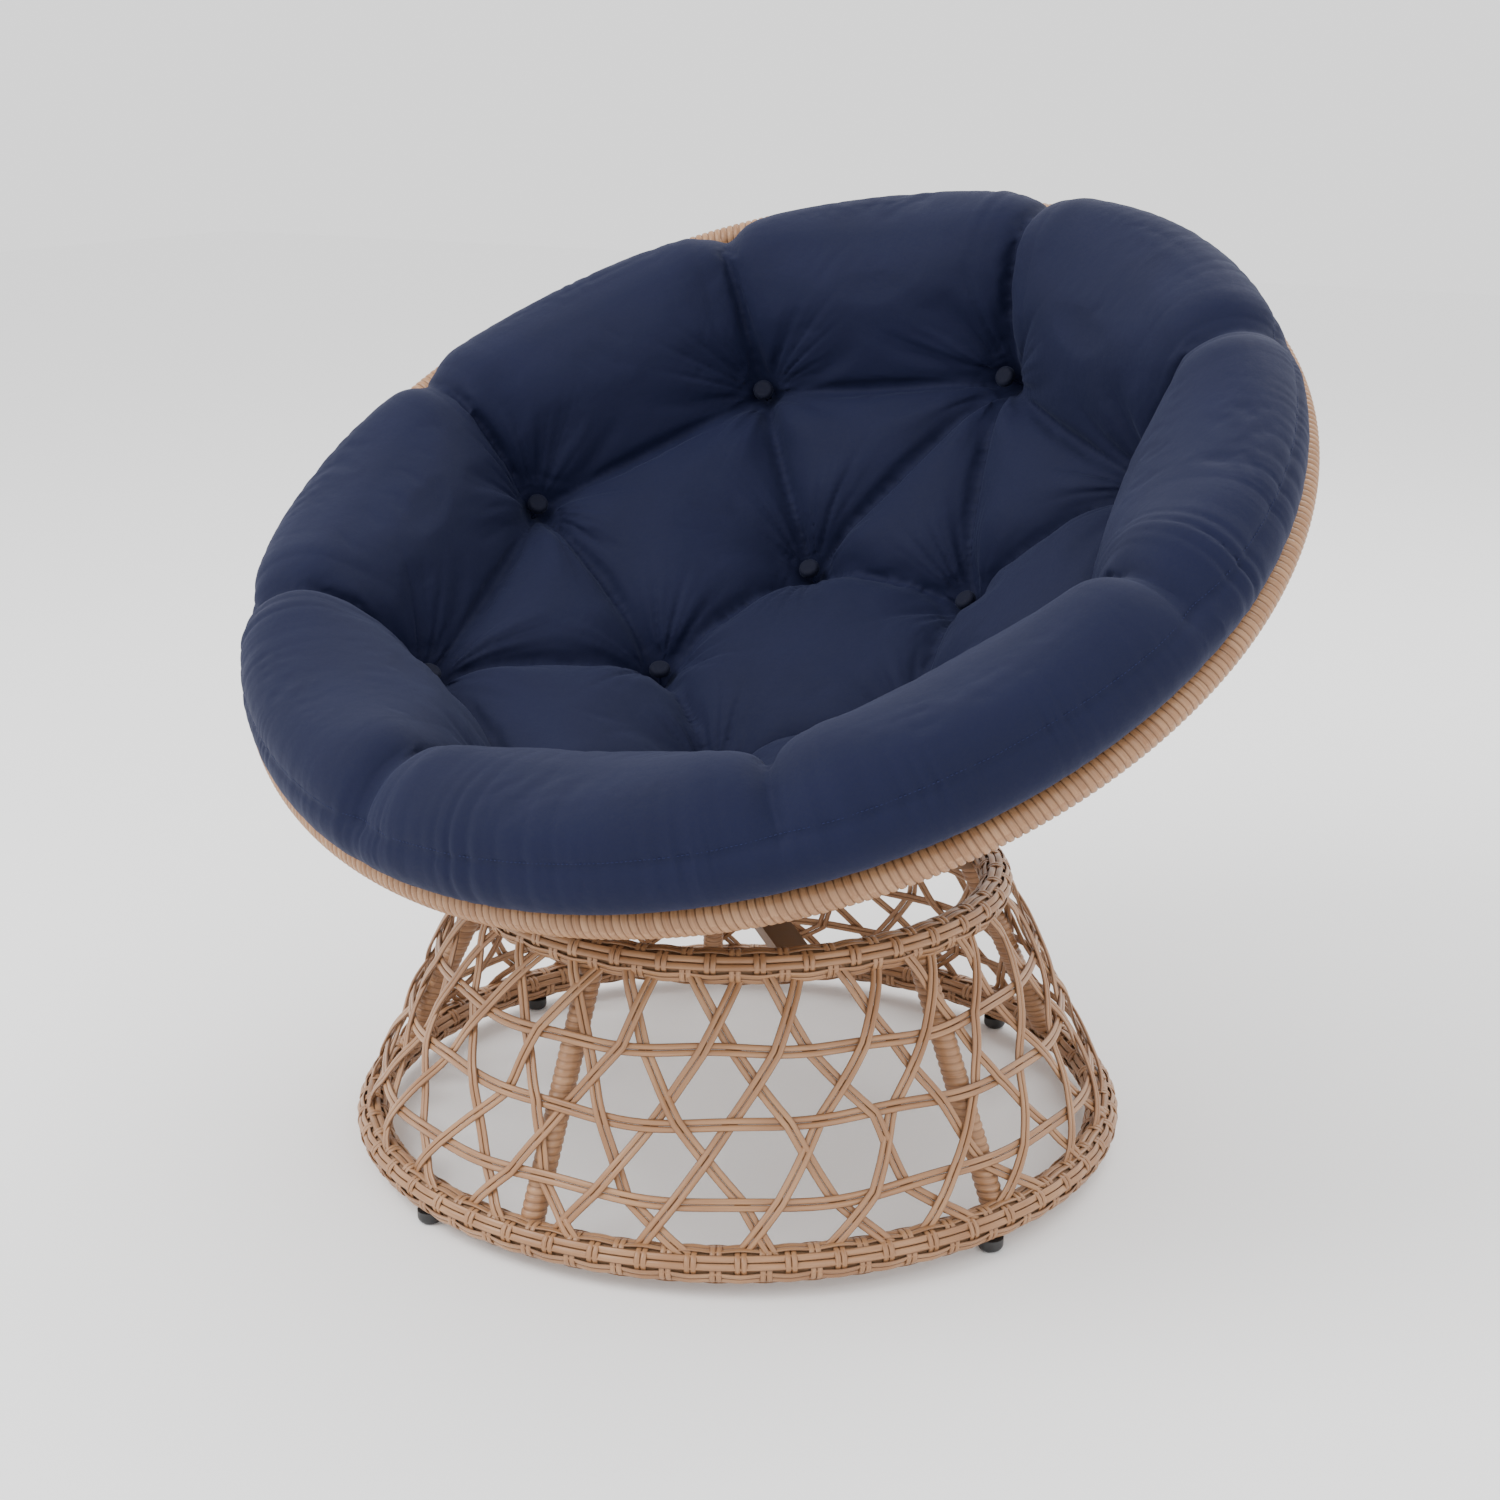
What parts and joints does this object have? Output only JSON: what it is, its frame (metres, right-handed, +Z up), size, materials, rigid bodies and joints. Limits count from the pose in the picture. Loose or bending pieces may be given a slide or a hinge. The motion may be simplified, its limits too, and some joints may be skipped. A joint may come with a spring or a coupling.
{
  "type": "swivel bowl chair with cushion",
  "caption": "Round bowl lounge chair with a thick button-tufted seat cushion in a woven resin bowl that swivels on a round lattice stand.",
  "frame": {"origin": "on the floor, on the swivel axis, at the centre of the round stand", "axes": "+Z up along the swivel axis; the low front of the bowl faces -Y; +X is the sitter's left"},
  "size_m": [1.07, 0.9584, 0.9149],
  "materials": {
    "resin_wicker": "satin tan resin strand with darker streaks",
    "black_plastic": "matt moulded",
    "painted_steel": "brown powder coat",
    "plated_steel": "zinc plated",
    "cage_plastic": "plain moulded",
    "cover_fabric": "matt navy woven polyester",
    "thread": "navy sewing thread",
    "filling": "white polyester fibre"
  },
  "bodies": {
    "stand": {"bottom_ring_tube": "painted_steel", "bottom_ring_weave": "resin_wicker", "top_ring_tube": "painted_steel", "top_ring_weave": "resin_wicker", "leg_1_tube": "painted_steel", "leg_2_tube": "painted_steel", "leg_3_tube": "painted_steel", "leg_4_tube": "painted_steel", "leg_5_tube": "painted_steel", "leg_1_wrap": "resin_wicker", "leg_2_wrap": "resin_wicker", "leg_3_wrap": "resin_wicker", "leg_4_wrap": "resin_wicker", "leg_5_wrap": "resin_wicker", "floor_glide_1": "black_plastic", "floor_glide_2": "black_plastic", "floor_glide_3": "black_plastic", "floor_glide_4": "black_plastic", "lattice_hoop_low": "resin_wicker", "lattice_hoop_middle": "resin_wicker", "lattice_hoop_high": "resin_wicker", "lattice_strands_left": "resin_wicker", "lattice_strands_right": "resin_wicker", "cross_bar_long": "painted_steel", "cross_bar_halves": "painted_steel", "swivel_plate_lower": "plated_steel", "lower_plate_screws": "plated_steel", "lower_plate_nuts": "plated_steel", "pivot_bolt": "plated_steel", "pivot_washer": "plated_steel", "pivot_nut": "plated_steel"},
    "ball_cage": {"ball_cage": "cage_plastic", "bearing_balls": "plated_steel"},
    "bowl": {"swivel_plate_upper": "plated_steel", "upper_plate_screws": "plated_steel", "upper_plate_nuts": "plated_steel", "bowl_mount_plate": "painted_steel", "cradle_webs": "painted_steel", "cradle_saddle": "painted_steel", "bowl_hub_plate": "painted_steel", "bowl_rib_1": "painted_steel", "bowl_rib_2": "painted_steel", "bowl_rib_3": "painted_steel", "bowl_rib_4": "painted_steel", "bowl_rib_5": "painted_steel", "bowl_rib_6": "painted_steel", "bowl_rib_7": "painted_steel", "bowl_rib_8": "painted_steel", "rim_tube": "painted_steel", "rim_wrap": "resin_wicker", "bowl_middle_ring": "painted_steel", "bowl_basket": "resin_wicker"},
    "cushion": {"cushion_filling": "filling", "cushion_top_cover": "cover_fabric", "cushion_bottom_cover": "cover_fabric", "cushion_seam": "thread", "tuft_cords": "thread", "tuft_buttons_top": "cover_fabric", "tuft_buttons_underside": "cover_fabric"}
  },
  "joints": [
    {"name": "bowl_swivel", "type": "hinge", "parent": "stand", "child": "bowl", "pos_m": [0, 0, 0.271], "axis": [0, 0, 1], "continuous": true},
    {"name": "ball_cage_turn", "type": "hinge", "parent": "stand", "child": "ball_cage", "pos_m": [0, 0, 0.271], "axis": [0, 0, 1], "continuous": true},
    {"name": "cushion_lift", "type": "slide", "parent": "bowl", "child": "cushion", "axis": [0, -0.515, 0.8572], "range_m": [0, 0.35]}
  ],
  "couplings": [
    {"joint": "ball_cage_turn", "follows": "bowl_swivel", "ratio": 0.5}
  ]
}
